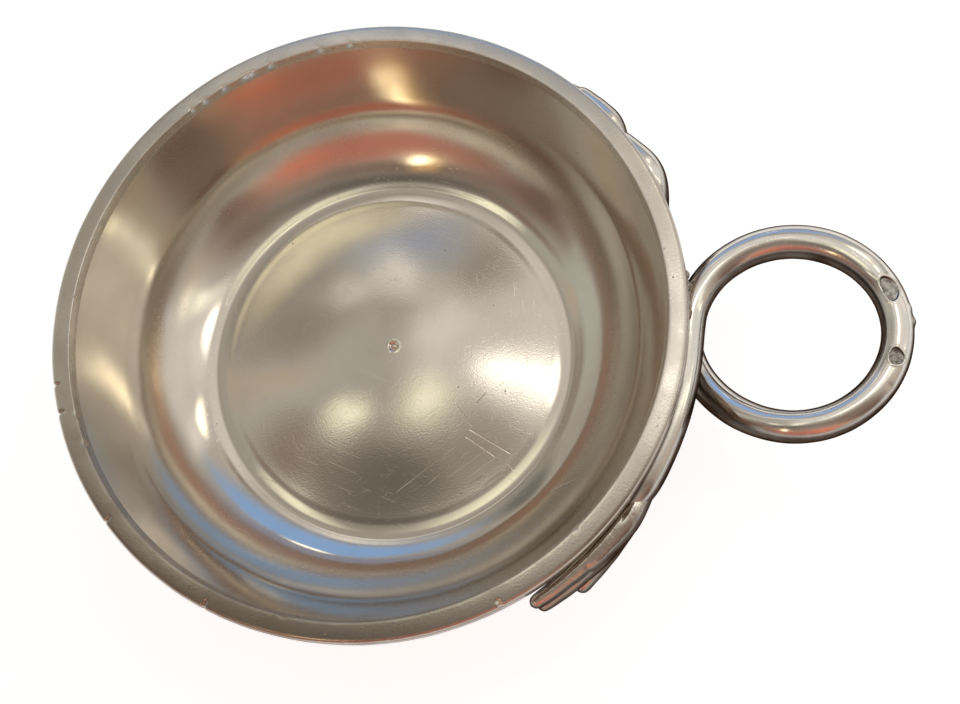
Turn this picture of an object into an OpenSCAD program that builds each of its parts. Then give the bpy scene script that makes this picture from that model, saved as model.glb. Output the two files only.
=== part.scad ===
// Shallow silver wine-tasting cup: a raised bowl with a domed floor, a thick band around its mouth,
// and a rod bent into a finger ring whose two tails cross and end in leaves under the band.

/* [Bowl] */
// Diameter over the rim band
bowl_d = 80; // [70:0.5:95]
// Height from the resting plane to the top of the rim band
bowl_h = 21.2; // [17:0.1:25]
// Thickness of the raised sheet
wall_t = 1.2; // [0.8:0.05:1.6]
// Slope of the wall above the horizontal, in degrees
wall_angle = 74; // [68:0.5:80]
// Radius of the bend where the floor turns up
bend_r = 3; // [1.5:0.1:5]
// Radius of the lowest circle of the floor
trough_r = 24.5; // [20:0.25:27]
// Height of the domed floor above its lowest circle
dome_rise = 3; // [1:0.1:5]
// Depth of the flat worn under the lowest circle
foot_flat = 0.08; // [0.04:0.01:0.2]

/* [Rim band] */
// Width of the flat top of the band
rim_w = 2.45; // [2:0.05:3.5]
// Height of the band
rim_h = 3; // [2.2:0.1:4.5]
// Metal left above the edge of the wall inside the band
rim_cap = 1.2; // [0.8:0.1:1.6]
// Radius of the band's outer edges
rim_edge_r = 0.6; // [0.3:0.05:0.9]

/* [Finger ring] */
// Diameter of the rod
rod_d = 4; // [3:0.1:5]
// Length of the ring's centre line, out from the bowl
ring_l = 24.2; // [20:0.1:30]
// Width of the ring's centre line, along the rim
ring_w = 23.4; // [19:0.1:28]
// How far the ring's outer end stands above its inner end
ring_rise = 3; // [0:0.1:4.5]
// Clearance that solder fills between touching pieces
solder_gap = 0.1; // [0.05:0.01:0.2]

/* [Leaves] */
// Angle around the bowl from the ring to the lower leaf
lower_from = 31.5; // [28:0.5:36]
// Angle around the bowl from the ring to the upper leaf
upper_from = 39.5; // [37:0.5:43]
// Angle that the lower leaf spans, out to the tip of its longest lobe
lower_span = 25; // [21:0.5:29]
// Angle that the upper leaf spans
upper_span = 20; // [16:0.5:23]
// Height of a leaf at its widest
leaf_h = 6; // [5:0.1:8]
// How far a leaf swells beyond the rod
leaf_swell = 0.8; // [0.5:0.1:1.5]
// How far the lower leaf's tip stands off the bowl
tip_lift = 1.1; // [0.6:0.1:2]

/* [Hidden] */
$fn = 96;

rod_r = rod_d / 2;
rim_r = bowl_d / 2;
lip_r = rim_r - rim_w;
floor_z = wall_t - foot_flat;
depth = bowl_h - floor_z;

// The dome's section: a higher fullness is flatter in the middle, a higher foot is softer at the edge
dome_fullness = 2;
dome_foot = 1.6;
dome_steps = 14;
turn_steps = 20;
edge_steps = 6;
slope_step = 0.002;

// From its lowest circle the floor bends up to the slope bend_angle, and a wide arc runs on from there to the
// straight wall
bend_angle = 20;
bend_w = bend_r * sin(bend_angle);
bend_h = bend_r * (1 - cos(bend_angle));
side_r = ((lip_r - trough_r - bend_w) * sin(wall_angle) - (depth - bend_h) * cos(wall_angle))
    / (1 - cos(wall_angle - bend_angle));

function wall_in(z) = lip_r - (bowl_h - z) / tan(wall_angle);
function wall_out(z) = wall_in(z) + wall_t / sin(wall_angle);
// The place on the bend and arc where the slope is a, set off towards the outside
function turn_at(a, off) = let (low = min(a, bend_angle), high = max(a, bend_angle)) [
    trough_r + bend_r * sin(low) + side_r * (sin(high) - sin(bend_angle)) + off * sin(a),
    floor_z + bend_r * (1 - cos(low)) + side_r * (cos(bend_angle) - cos(high)) - off * cos(a)];
function dome_z(u) = floor_z + dome_rise * pow(max(0, 1 - pow(u, dome_fullness)), dome_foot);
function dome_slope(u) = u <= 0 || u >= 1 ? 0
    : (dome_z(min(1, u + slope_step)) - dome_z(u - slope_step))
      / ((min(1, u + slope_step) - u + slope_step) * trough_r);
function below(p, s) = p + wall_t * [s, -1] / sqrt(1 + s * s);
function dome_u(i) = sin(90 * i / dome_steps);

dome_in = [for (i = [0:dome_steps]) [dome_u(i) * trough_r, dome_z(dome_u(i))]];
dome_out = [for (i = [0:dome_steps]) below(dome_in[i], dome_slope(dome_u(i)))];
wall_top = bowl_h - rim_cap;
band_foot = bowl_h - rim_h;
turn_in = [for (i = [1:turn_steps]) turn_at(wall_angle * i / turn_steps, 0)];
turn_out = [for (i = [turn_steps:-1:1]) turn_at(wall_angle * i / turn_steps, wall_t)];

// The rod runs under the band, its centre line below the band's outer edge, and the ring touches that line
tail_z = band_foot - rod_r - solder_gap;
tail_r = rim_r;
cross_z = tail_z - rod_d - solder_gap;
ring_a = ring_l / 2;
ring_b = ring_w / 2;
ring_x = tail_r + ring_a;
ring_y = 0.075 * rod_d;

// Angles at which a tail leaves the rim's circle and joins the ring
leave_a = 4;
join_a = 8;
// The ring's lower arm sinks before it would meet the lower tail, at pass_a short of a full turn, and is
// drawn in towards the crossing as it sinks
pass_y = sqrt(2 * rod_d / (ring_a / pow(ring_b, 2) + 1 / tail_r));
pass_a = asin(min(1, pass_y / ring_b));
sink_from = 360 - 2.2 * pass_a;
sink_to = 360 - 0.61 * pass_a;
draw_in = rod_d * [-0.04, 0.4];
// The upper tail tucks in to the wall over the angle tuck_over, climbs between two angles, and arches out
// before its leaf
climb_from = 22;
climb_to = 32;
tuck_over = 12;
arch_from = 23;
arch_lap = 1;
arch_swell = 0.8;
// The upper tail narrows to this share of the rod where its leaf begins, over its last steps
neck = 0.8;
neck_steps = 3;
tail_steps = 12;
ring_steps = 44;
rod_sides = 16;

// A leaf's stem takes this share of its span, is full at stem_full and closes to the share stem_end
stem_share = 0.62;
stem_full = 0.7;
stem_end = 0.04;
stem_steps = 10;
// Each lobe: drop as a share of the leaf's height, reach as a share of its span, and place beyond the rod's
// line and radius as shares of the rod's radius. It grows out to its place from the share lobe_start of it
lobes = [
    [0.22, 0.99, -0.1, 0.52],
    [0.47, 0.955, 0.4, 0.55],
    [0.74, 0.715, 0.76, 0.64]
];
lobe_root = 0.2;
lobe_start = 0.3;
lobe_blunt = 4;
lobe_steps = 8;
lobe_sides = 12;

// Solder seams: angle by which they lap past a tail's end, reach below the rod's centre, and share of the
// rod's radius that they keep clear over it
seam_lap = 2;
seam_drop = 0.8;
seam_tuck = 0.4;
// Fillets at the crossing: their length and middle along the rods, and the share of the rod's width they fill
crossing_l = 3;
crossing_y = 1;
crossing_share = 0.7;

function ease(t) = let (c = min(1, max(0, t))) c * c * (3 - 2 * c);
function mix(a, b, t) = a + (b - a) * t;
function around(a, r, z) = [r * cos(a), r * sin(a), z];
function hug_r(z) = wall_out(z) + (rod_r + solder_gap) / sin(wall_angle);

function lower_tail(a) = around(a, tail_r, tail_z);
function ring_at(a) = let (sunk = ease((a - sink_from) / (sink_to - sink_from)))
    [ring_x - ring_a * cos(a) + draw_in[0] * sunk,
     ring_y + ring_b * sin(a) + draw_in[1] * sunk,
     mix(tail_z, cross_z, sunk) + ring_rise * (1 - cos(a)) / 2];
function upper_tail(a) = let (
        up = ease((a - climb_from) / (climb_to - climb_from)),
        tuck = ease((a - leave_a) / tuck_over),
        along = min(1, max(0, (a - arch_from) / (upper_from + arch_lap - arch_from))),
        z = mix(cross_z, tail_z, up))
    around(a, mix(mix(tail_r, hug_r(cross_z), tuck), tail_r, up) + arch_swell * pow(sin(180 * along), 2), z);

// Course of the rod from the lower leaf, round the ring, to the upper leaf, with one spare point at each end
lower_step = (lower_from - leave_a) / tail_steps;
upper_step = (upper_from - leave_a) / tail_steps;
ring_step = (360 - 2 * join_a) / ring_steps;
rod_course = [
    for (i = [-1:tail_steps]) lower_tail(-lower_from + i * lower_step),
    for (i = [0:ring_steps]) ring_at(join_a + i * ring_step),
    for (i = [0:tail_steps + 1]) upper_tail(leave_a + i * upper_step)
];

// A tube through the inner points of a course. Each size is the half width across and the half height
function unit(v) = v / norm(v);
function section(c, i, size, sides) = let (
        t = unit(c[i + 1] - c[i - 1]),
        s = unit(cross(t, [0, 0, 1])),
        n = cross(s, t))
    [for (k = [0:sides - 1]) c[i] + size[0] * cos(360 * k / sides) * s + size[1] * sin(360 * k / sides) * n];

module tube(course, sizes, sides) {
    rings = len(course) - 2;
    points = [for (i = [1:rings]) each section(course, i, sizes[i - 1], sides)];
    walls = [for (i = [0:rings - 2], k = [0:sides - 1]) let (
            a = i * sides + k,
            b = i * sides + (k + 1) % sides,
            c = a + sides,
            d = b + sides)
        each [[a, b, d], [a, d, c]]];
    start = [for (k = [sides - 1:-1:0]) k];
    end = [for (k = [0:sides - 1]) (rings - 1) * sides + k];
    polyhedron(points, concat([start], walls, [end]));
}

module bowl() {
    color("silver")
    rotate_extrude()
    intersection() {
        polygon(concat(
            dome_in,
            turn_in,
            [[wall_in(wall_top), wall_top], [wall_out(wall_top), wall_top]],
            turn_out,
            [for (i = [dome_steps:-1:0]) dome_out[i]]));
        square([rim_r, bowl_h]);
    }
}

function round_edge(z, from) = [for (i = [0:edge_steps]) let (a = from - 90 * i / edge_steps)
    [rim_r - rim_edge_r + rim_edge_r * cos(a), z + rim_edge_r * sin(a)]];

module rim_band() {
    color("gainsboro")
    rotate_extrude()
    polygon(concat(
        [[wall_in(wall_top), wall_top], [lip_r, bowl_h]],
        round_edge(bowl_h - rim_edge_r, 90),
        round_edge(band_foot + rim_edge_r, 0),
        [[wall_out(band_foot), band_foot], [wall_out(wall_top), wall_top]]));
}

function rod_size(to_end) = rod_r * mix(1, neck, ease(1 - to_end / neck_steps));

module handle_ring() {
    rings = len(rod_course) - 2;
    color("lightsteelblue")
    tube(rod_course, [for (i = [1:rings]) rod_size(rings - i) * [1, 1]], rod_sides);
}

// A leaf is drawn from angle zero down: a swelling stem that breaks up into three lobes along the rim
function leaf_a(t, span) = -solder_gap / tail_r * 180 / PI - span * t;
function stem_close(t) = t < stem_full ? 1
    : sqrt(max(stem_end, 1 - pow((t - stem_full) / (1 - stem_full), 2)));
function stem_swell(t) = ease(t / stem_full);
function stem_half_h(t, root) = mix(rod_r * root, leaf_h / 2, stem_swell(t)) * stem_close(t);
function stem_half_w(t, root) = mix(rod_r * root, rod_r + leaf_swell / 2, stem_swell(t)) * stem_close(t);
function stem_at(t, span) = around(
    leaf_a(t * stem_share, span),
    tail_r + leaf_swell / 2 * stem_swell(t),
    tail_z + rod_r - mix(rod_r, leaf_h / 2, stem_swell(t)));

function lobe_size(lobe, t) = rod_r * lobe[3] * sqrt(max(stem_end, 1 - pow(t, lobe_blunt)));
function lobe_at(lobe, t, span, lift) = around(
    leaf_a(mix(lobe_root, lobe[1], t), span),
    tail_r + rod_r * lobe[2] * mix(lobe_start, 1, ease(t)) + lift * lobe[1] * t * t,
    tail_z + rod_r - lobe[0] * leaf_h);

module lobe_tube(lobe, span, lift) {
    course = [for (i = [-1:lobe_steps + 1]) lobe_at(lobe, i / lobe_steps, span, lift)];
    sizes = [for (i = [0:lobe_steps]) lobe_size(lobe, i / lobe_steps) * [1, 1]];
    tube(course, sizes, lobe_sides);
}

// The root is the share of the rod's size at which the stem begins
module leaf(span, lift, root) {
    course = [for (i = [-1:stem_steps + 1]) stem_at(i / stem_steps, span)];
    sizes = [for (i = [0:stem_steps]) let (t = i / stem_steps) [stem_half_w(t, root), stem_half_h(t, root)]];
    union() {
        tube(course, sizes, rod_sides);
        for (lobe = lobes) lobe_tube(lobe, span, lift);
    }
}

module lower_leaf() { color("burlywood") rotate([0, 0, -lower_from]) leaf(lower_span, tip_lift, 1); }
module upper_leaf() { color("tan") rotate([0, 0, upper_from]) mirror([0, 1, 0]) leaf(upper_span, 0, neck); }

// Solder lies in the corner between the wall, the band and the rod, from one angle to another
module seam(from, to) {
    seam_foot = tail_z - seam_drop;
    seam_edge = tail_r - rod_r * seam_tuck;
    rotate([0, 0, from])
    rotate_extrude(angle = to - from)
    difference() {
        polygon([
            [wall_out(band_foot), band_foot],
            [seam_edge, band_foot],
            [seam_edge, tail_z],
            [wall_out(seam_foot), seam_foot]]);
        translate([tail_r, tail_z]) circle(rod_r + solder_gap);
    }
}

module lower_seam() { color("dimgray") seam(-lower_from - seam_lap, -leave_a - seam_lap); }
module upper_seam() { color("dimgray") seam(climb_to, upper_from + seam_lap); }

// Where the tails cross, solder fills the two grooves between the upper rod and the lower one
module crossing_solder() {
    color("gray")
    translate([0, crossing_y, 0])
    rotate([90, 0, 0])
    linear_extrude(crossing_l, center = true)
    difference() {
        translate([tail_r - rod_r * crossing_share, cross_z])
            square([rod_d * crossing_share, tail_z - cross_z]);
        translate([tail_r, tail_z]) circle(rod_r + solder_gap);
        translate([tail_r, cross_z]) circle(rod_r + solder_gap);
    }
}

bowl();
rim_band();
handle_ring();
lower_leaf();
upper_leaf();
lower_seam();
upper_seam();
crossing_solder();
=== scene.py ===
"""Looks of a silver wine-tasting cup: raised bowl, rim band, rod ring with two leaves, and solder."""

import math

import bpy
from mathutils import Matrix, Vector


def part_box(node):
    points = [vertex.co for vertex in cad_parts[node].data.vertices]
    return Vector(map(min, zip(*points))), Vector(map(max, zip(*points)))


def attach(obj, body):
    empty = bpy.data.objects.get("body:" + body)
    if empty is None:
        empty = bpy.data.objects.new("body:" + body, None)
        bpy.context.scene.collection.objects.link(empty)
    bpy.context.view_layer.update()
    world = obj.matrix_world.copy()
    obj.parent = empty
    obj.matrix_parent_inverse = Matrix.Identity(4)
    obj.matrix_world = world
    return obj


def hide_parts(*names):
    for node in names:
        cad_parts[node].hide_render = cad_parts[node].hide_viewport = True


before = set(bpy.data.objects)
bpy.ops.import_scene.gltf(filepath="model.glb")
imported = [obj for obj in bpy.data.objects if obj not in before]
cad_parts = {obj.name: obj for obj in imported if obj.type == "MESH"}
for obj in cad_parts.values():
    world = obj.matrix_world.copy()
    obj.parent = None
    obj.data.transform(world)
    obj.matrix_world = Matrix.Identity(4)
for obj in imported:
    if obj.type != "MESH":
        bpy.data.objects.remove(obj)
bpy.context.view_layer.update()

MM = 0.001
band_low, band_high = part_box("rim_band")

# Sizes of the cup, from the frame where its boxes give them
RIM_R = band_high.x
BOWL_H = band_high.z
BAND_FOOT = band_low.z
WALL_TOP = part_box("bowl")[1].z
WALL_T = 1.2 * MM
WALL_ANGLE = math.radians(74)
TROUGH_R = 24.5 * MM
DOME_RISE = 3 * MM
DOME_FULLNESS = 2
DOME_FOOT = 1.6
FOOT_FLAT = 0.08 * MM
RIM_W = 2.45 * MM
RIM_EDGE_R = 0.6 * MM
ROD_R = 2 * MM
RING_L = 24.2 * MM
RING_W = 23.4 * MM
RING_RISE = 3 * MM
SOLDER_GAP = 0.1 * MM

LIP_R = RIM_R - RIM_W
FLOOR_Z = WALL_T - FOOT_FLAT
DEPTH = BOWL_H - FLOOR_Z
# From the trough the floor bends up to the slope BEND_ANGLE, and a wide arc runs on to the straight wall
BEND_R = 3 * MM
BEND_ANGLE = math.radians(20)
BEND_W = BEND_R * math.sin(BEND_ANGLE)
BEND_H = BEND_R * (1 - math.cos(BEND_ANGLE))
SIDE_R = (((LIP_R - TROUGH_R - BEND_W) * math.sin(WALL_ANGLE) - (DEPTH - BEND_H) * math.cos(WALL_ANGLE))
          / (1 - math.cos(WALL_ANGLE - BEND_ANGLE)))

# Line of the rod, in degrees around the bowl for the tails and around the ring for the ring
TAIL_R = RIM_R
TAIL_Z = BAND_FOOT - ROD_R - SOLDER_GAP
CROSS_Z = TAIL_Z - 2 * ROD_R - SOLDER_GAP
RING_A = RING_L / 2
RING_B = RING_W / 2
RING_X = TAIL_R + RING_A
RING_Y = 0.3 * MM
LOWER_FROM = 31.5
UPPER_FROM = 39.5
LEAVE_A = 4
JOIN_A = 8
PASS_Y = math.sqrt(4 * ROD_R / (RING_A / RING_B ** 2 + 1 / TAIL_R))
PASS_A = math.degrees(math.asin(min(1, PASS_Y / RING_B)))
SINK_FROM = 360 - 2.2 * PASS_A
SINK_TO = 360 - 0.61 * PASS_A
DRAW_IN = Vector((-0.16 * MM, 1.6 * MM, 0))
CLIMB_FROM = 22
CLIMB_TO = 32
TUCK_OVER = 12
ARCH_FROM = 23
ARCH_LAP = 1
ARCH_SWELL = 0.8 * MM


def ease(t):
    c = min(1, max(0, t))
    return c * c * (3 - 2 * c)


def mix(a, b, t):
    return a + (b - a) * t


def hump(x, width):
    """One smooth rise of height 1 at x = 0, gone at about twice the width."""
    return math.exp(-(x / width) ** 2)


def around(a, r, z):
    """A point at an angle in degrees around the bowl's axis."""
    return Vector((r * math.cos(math.radians(a)), r * math.sin(math.radians(a)), z))


def spread(start, end, step):
    """Even places from start up to, but not at, end."""
    count = max(1, round((end - start) / step))
    return [start + (end - start) * i / count for i in range(count)]


# Working by hand in Blender

MERGE_GAP = 0.002 * MM


def take_up(piece):
    """Selects one piece and nothing else."""
    bpy.ops.object.select_all(action="DESELECT")
    piece.select_set(True)
    bpy.context.view_layer.objects.active = piece


def open_mesh(piece):
    take_up(piece)
    bpy.ops.object.mode_set(mode="EDIT")


def close_mesh():
    bpy.ops.object.mode_set(mode="OBJECT")


def pick_faces(piece, rule):
    """Opens a piece with only the faces selected whose centre and normal pass the rule."""
    open_mesh(piece)
    bpy.ops.mesh.select_mode(type="FACE")
    bpy.ops.mesh.select_all(action="DESELECT")
    close_mesh()
    for face in piece.data.polygons:
        face.select = rule(face.center, face.normal)
    open_mesh(piece)


def clean_up(piece):
    """Merges doubled points and turns every face outwards."""
    open_mesh(piece)
    bpy.ops.mesh.select_all(action="SELECT")
    bpy.ops.mesh.remove_doubles(threshold=MERGE_GAP)
    bpy.ops.mesh.normals_make_consistent(inside=False)
    close_mesh()


def finish_with(piece, kind, **settings):
    """Adds a modifier with its settings and applies it."""
    take_up(piece)
    modifier = piece.modifiers.new(kind.title(), kind)
    for name, value in settings.items():
        setattr(modifier, name, value)
    bpy.ops.object.modifier_apply(modifier=modifier.name)


def press(piece, move):
    """Moves each point by what move gives for its place and normal, as a hammer or a punch does."""
    shifts = [move(point.co, point.normal) for point in piece.data.vertices]
    for point, shift in zip(piece.data.vertices, shifts):
        point.co += shift
    piece.data.update()


def mark_points(piece, name, rule):
    """Keeps a value from 0 to 1 at each point, for the finish to read."""
    marks = piece.data.attributes.new(name, "FLOAT", "POINT")
    for point, mark in zip(piece.data.vertices, marks.data):
        mark.value = rule(point.co, point.normal)


def mark_hollows(piece, passes, depth):
    """Marks how far each point lies below the piece smoothed over: 1 is a groove, 0 stands out."""
    soft = piece.copy()
    soft.data = piece.data.copy()
    bpy.context.scene.collection.objects.link(soft)
    finish_with(soft, "SMOOTH", factor=0.5, iterations=passes)
    eased = [point.co.copy() for point in soft.data.vertices]
    marks = piece.data.attributes.new("hollows", "FLOAT", "POINT")
    for point, to, mark in zip(piece.data.vertices, eased, marks.data):
        mark.value = ease((to - point.co).dot(point.normal) / depth)
    bpy.data.objects.remove(soft)


def smooth(piece, angle):
    take_up(piece)
    bpy.ops.object.shade_smooth_by_angle(angle=math.radians(angle))


def turn_section(name, section, steps, start=0, sweep=360):
    """Draws a section of (radius, height) points from one vertex and spins it around the bowl's axis."""
    bpy.ops.object.select_all(action="DESELECT")
    bpy.ops.mesh.primitive_plane_add(size=MM)
    piece = bpy.context.object
    piece.name = name
    bpy.ops.object.mode_set(mode="EDIT")
    bpy.ops.mesh.select_mode(type="VERT")
    bpy.ops.mesh.select_all(action="SELECT")
    bpy.ops.mesh.merge(type="CENTER")
    bpy.ops.transform.translate(value=(section[0][0], 0, section[0][1]))
    for (r0, z0), (r1, z1) in zip(section, section[1:]):
        bpy.ops.mesh.extrude_region_move(TRANSFORM_OT_translate={"value": (r1 - r0, 0, z1 - z0)})
    bpy.ops.mesh.select_all(action="SELECT")
    bpy.ops.mesh.spin(steps=steps, angle=math.radians(sweep), center=(0, 0, 0), axis=(0, 0, 1))
    close_mesh()
    clean_up(piece)
    first = min(math.degrees(math.atan2(p.co.y, p.co.x)) for p in piece.data.vertices) if sweep < 360 else 0
    piece.data.transform(Matrix.Rotation(math.radians(start - first), 4, "Z"))
    return piece


def draw_rod(name, points, sizes, sides):
    """A round bar along a smooth curve, made a mesh; each size is the bar's radius at its point."""
    curve = bpy.data.curves.new(name, "CURVE")
    curve.dimensions = "3D"
    curve.resolution_u = 4
    curve.bevel_depth = 1
    curve.bevel_resolution = sides // 2 - 2
    curve.use_fill_caps = True
    line = curve.splines.new("NURBS")
    line.points.add(len(points) - 1)
    for place, point, size in zip(line.points, points, sizes):
        place.co = (*point, 1)
        place.radius = size
    line.order_u = 4
    line.use_endpoint_u = True
    piece = bpy.data.objects.new(name, curve)
    bpy.context.scene.collection.objects.link(piece)
    take_up(piece)
    bpy.ops.object.convert(target="MESH")
    piece = bpy.context.object
    clean_up(piece)
    return piece


def noise_field(name, grain):
    """Soft clouds of one grain size that a Displace modifier reads."""
    field = bpy.data.textures.new(name, "CLOUDS")
    field.noise_scale = grain
    field.noise_depth = 1
    return field


def make_uneven(piece, name, grain, height, group=""):
    """Leaves a piece as uneven as hand work does: swells of one grain size and overall height."""
    finish_with(piece, "DISPLACE", texture=noise_field(name, grain), texture_coords="LOCAL",
                strength=height, mid_level=0.5, vertex_group=group)


# Bowl

# Shoulder of the disc on the floor, chased line beyond it, and punch mark near the middle
SHOULDER_R = 23 * MM
SHOULDER_W = 1.1 * MM
SHOULDER_H = 0.03 * MM
LINE_R = 25.65 * MM
LINE_W = 0.4 * MM
LINE_H = 0.02 * MM
PUNCH_AT = Vector((0.73 * MM, 0.71 * MM, 0))
PUNCH_R = 0.42 * MM
PUNCH_DEPTH = 0.2 * MM
PUNCH_LIP_R = 0.78 * MM
PUNCH_LIP_H = 0.05 * MM
PUNCH_SOFT = 0.17 * MM
PUNCH_FADE = 10 * MM
BOWL_SIDES = 240
# Steps between the points of the section: fine at the punch mark, the disc's shoulder and the turns
PUNCH_ZONE = 1.3 * MM
SHOULDER_ZONE = 21.5 * MM
PUNCH_STEP = 0.1 * MM
DISC_STEP = 0.75 * MM
SHOULDER_STEP = 0.15 * MM
BEND_STEP = math.radians(2)
SIDE_STEP = math.radians(1)
WALL_STEP = 0.8 * MM
OUTSIDE_STEP = math.radians(2.5)
UNDER_STEP = 1.2 * MM
# Hammer marks: gone at the edge that the band holds and in the middle of the floor
HAMMER_EDGE = 4 * MM
HAMMER_MIDDLE = 2 * MM
HAMMER_FADE = 6 * MM


def wall_in(z):
    return LIP_R - (BOWL_H - z) / math.tan(WALL_ANGLE)


def wall_out(z):
    return wall_in(z) + WALL_T / math.sin(WALL_ANGLE)


def turn_at(a, off):
    """The place on the bend and arc where the slope is a, set off towards the outside."""
    low = min(a, BEND_ANGLE)
    high = max(a, BEND_ANGLE)
    r = TROUGH_R + BEND_R * math.sin(low) + SIDE_R * (math.sin(high) - math.sin(BEND_ANGLE))
    z = FLOOR_Z + BEND_R * (1 - math.cos(low)) + SIDE_R * (math.cos(BEND_ANGLE) - math.cos(high))
    return r + off * math.sin(a), z - off * math.cos(a)


def dome_z(r):
    u = min(1, r / TROUGH_R)
    return FLOOR_Z + DOME_RISE * max(0, 1 - u ** DOME_FULLNESS) ** DOME_FOOT


def floor_marks(r):
    """Height of the chased line, the disc's shoulder and the punch mark above the plain floor."""
    shoulder = SHOULDER_H * (1 - ease((r - SHOULDER_R) / SHOULDER_W + 0.5))
    line = LINE_H * hump(r - LINE_R, LINE_W)
    punch = PUNCH_LIP_H * hump(r - PUNCH_LIP_R, PUNCH_SOFT) - PUNCH_DEPTH * hump(r - PUNCH_R, PUNCH_SOFT)
    return shoulder + line + punch


def bowl_section():
    """Inside from the middle of the floor up to the edge, then outside down to the middle again."""
    rings = spread(0, PUNCH_ZONE, PUNCH_STEP) + spread(PUNCH_ZONE, SHOULDER_ZONE, DISC_STEP)
    rings += spread(SHOULDER_ZONE, TROUGH_R, SHOULDER_STEP)
    inside = [(r, dome_z(r) + floor_marks(r)) for r in rings]
    for a in spread(0, BEND_ANGLE, BEND_STEP) + spread(BEND_ANGLE, WALL_ANGLE, SIDE_STEP):
        r, z = turn_at(a, 0)
        inside.append((r, z + floor_marks(r)))
    low = turn_at(WALL_ANGLE, 0)[1]
    walls = spread(low, WALL_TOP, WALL_STEP) + [WALL_TOP]
    inside += [(wall_in(z), z) for z in walls]
    outside = [(wall_out(z), z) for z in (WALL_TOP, BAND_FOOT)]
    outside += [turn_at(a, WALL_T) for a in reversed(spread(0, WALL_ANGLE, OUTSIDE_STEP))]
    outside += [(r, dome_z(r) - WALL_T) for r in reversed(spread(0, TROUGH_R, UNDER_STEP))]
    return inside + [(r, max(0, z)) for r, z in outside]


def make_bowl():
    bowl = turn_section("raised_bowl", bowl_section(), BOWL_SIDES)

    def to_punch(place, normal):
        r = math.hypot(place.x, place.y)
        above = place.z > dome_z(r) - WALL_T / 2
        return PUNCH_AT * (1 - ease(r / PUNCH_FADE)) if above else Vector()

    press(bowl, to_punch)
    hammered = bowl.vertex_groups.new(name="hammered")
    for point in bowl.data.vertices:
        r = math.hypot(point.co.x, point.co.y)
        free = 1 - ease((point.co.z - WALL_TOP + HAMMER_EDGE) / HAMMER_EDGE)
        hammered.add([point.index], free * ease((r - HAMMER_MIDDLE) / HAMMER_FADE), "REPLACE")
    make_uneven(bowl, "planishing", grain=10 * MM, height=0.09 * MM, group="hammered")
    bowl.vertex_groups.clear()
    press(bowl, lambda place, normal: Vector((0, 0, max(0, -place.z))))
    smooth(bowl, angle=40)
    return bowl


# Rim band

LIP_EDGE_R = 0.16 * MM
RIM_CROWN = 0.14 * MM
RIM_SIDES = 600
LIP_STEP = math.pi / 8
TOP_STEP = 0.22 * MM
EDGE_STEP = math.pi / 12
# Angle around the rim and length in millimetres of each nick in the lip and in the outer edge
LIP_NICKS = [(98.4, 1.0), (104.5, 0.9), (115.3, 1.0), (119.4, 0.8), (120.8, 1.3), (125.8, 0.9), (130.5, 1.0),
             (133.5, 0.7), (203, 0.7), (209, 0.8), (262, 0.8), (318, 0.8)]
EDGE_NICKS = [(196.2, 0.35), (201.7, 0.45), (224, 0.4), (248, 0.4), (300, 0.5)]
LIP_NICK_DEPTH = 0.14 * MM
LIP_NICK_W = 0.3 * MM
LIP_NICK_H = 0.4 * MM
EDGE_NICK_DEPTH = 0.2 * MM
EDGE_NICK_W = 1.3 * MM
EDGE_NICK_H = 1.6 * MM
EDGE_NICK_SOFT = 0.6 * MM
# Which way a nick pushes the metal: outward and up
LIP_NICK_WAY = (0.8, -0.6)
EDGE_NICK_WAY = (-0.6, -0.8)
# Faces near a nick are made finer: degrees to each side, and height above the band's foot
NICK_SPAN = 1.6
NICK_FROM = 1.5 * MM


def rim_section():
    """From the wall's edge inside, over the lip, the crowned top and the round edges, to the wall outside."""
    lip = [(LIP_R + LIP_EDGE_R * (1 - math.cos(a)), BOWL_H - LIP_EDGE_R * (1 - math.sin(a)))
           for a in spread(0, math.pi / 2, LIP_STEP)]
    fall = math.atan(2 * RIM_CROWN / RIM_W)
    top_w = RIM_W - RIM_EDGE_R * (1 - math.sin(fall))
    top = [(LIP_R + w, BOWL_H - RIM_CROWN * (w / RIM_W) ** 2) for w in spread(LIP_EDGE_R, top_w, TOP_STEP)]
    edge_z = BOWL_H - RIM_CROWN * (top_w / RIM_W) ** 2 - RIM_EDGE_R * math.cos(fall)
    turn = spread(0, math.pi / 2, EDGE_STEP) + [math.pi / 2]
    edge = [(RIM_R - RIM_EDGE_R * (1 - math.sin(a)), edge_z + RIM_EDGE_R * math.cos(a))
            for a in spread(fall, math.pi / 2, EDGE_STEP) + [math.pi / 2]]
    foot_z = BAND_FOOT + RIM_EDGE_R
    foot = [(RIM_R - RIM_EDGE_R * (1 - math.cos(a)), foot_z - RIM_EDGE_R * math.sin(a)) for a in turn]
    under = [(wall_out(BAND_FOOT), BAND_FOOT), (wall_out(WALL_TOP), WALL_TOP)]
    return [(wall_in(WALL_TOP), WALL_TOP)] + lip + top + edge + foot + under + [(wall_in(WALL_TOP), WALL_TOP)]


def angle_off(place, a):
    """Degrees around the axis from an angle to a place, between -180 and 180."""
    return (math.degrees(math.atan2(place.y, place.x)) - a + 180) % 360 - 180


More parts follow.
